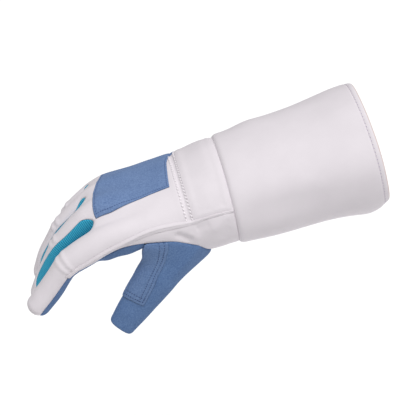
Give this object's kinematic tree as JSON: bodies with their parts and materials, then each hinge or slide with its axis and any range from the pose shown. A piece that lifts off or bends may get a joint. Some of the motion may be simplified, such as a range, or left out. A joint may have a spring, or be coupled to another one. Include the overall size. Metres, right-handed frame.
{
  "type": "fencing glove",
  "caption": "Right-hand fencing glove worn by a relaxed hand: long flared white cuff, white back, blue suede palm and thumb, ribbed knit strips between the fingers.",
  "frame": {"origin": "the middle of the wrist inside the glove, which is where the wearer's wrist holds it", "axes": "+X runs from the wrist to the cuff's open end, the back of the hand faces +Z, the thumb side faces -Y and the fingertips point to -X and down"},
  "size_m": [0.3266, 0.1186, 0.1336],
  "materials": {
    "white_knit": "matte",
    "hem_tape": "matte",
    "blue_suede": "matte",
    "turquoise_mesh": "matte"
  },
  "bodies": {
    "root": {"cuff": "white_knit", "cuff_binding": "hem_tape", "wrist_back": "white_knit", "wrist_band": "white_knit", "back_panel": "white_knit", "side_panel": "white_knit", "side_welt": "white_knit", "palm_panel": "blue_suede", "thumb": "blue_suede", "gusset_index_middle": "turquoise_mesh", "gusset_middle_ring": "turquoise_mesh", "gusset_ring_little": "turquoise_mesh", "back_patch": "blue_suede", "thumb_patch": "blue_suede"}
  },
  "joints": []
}
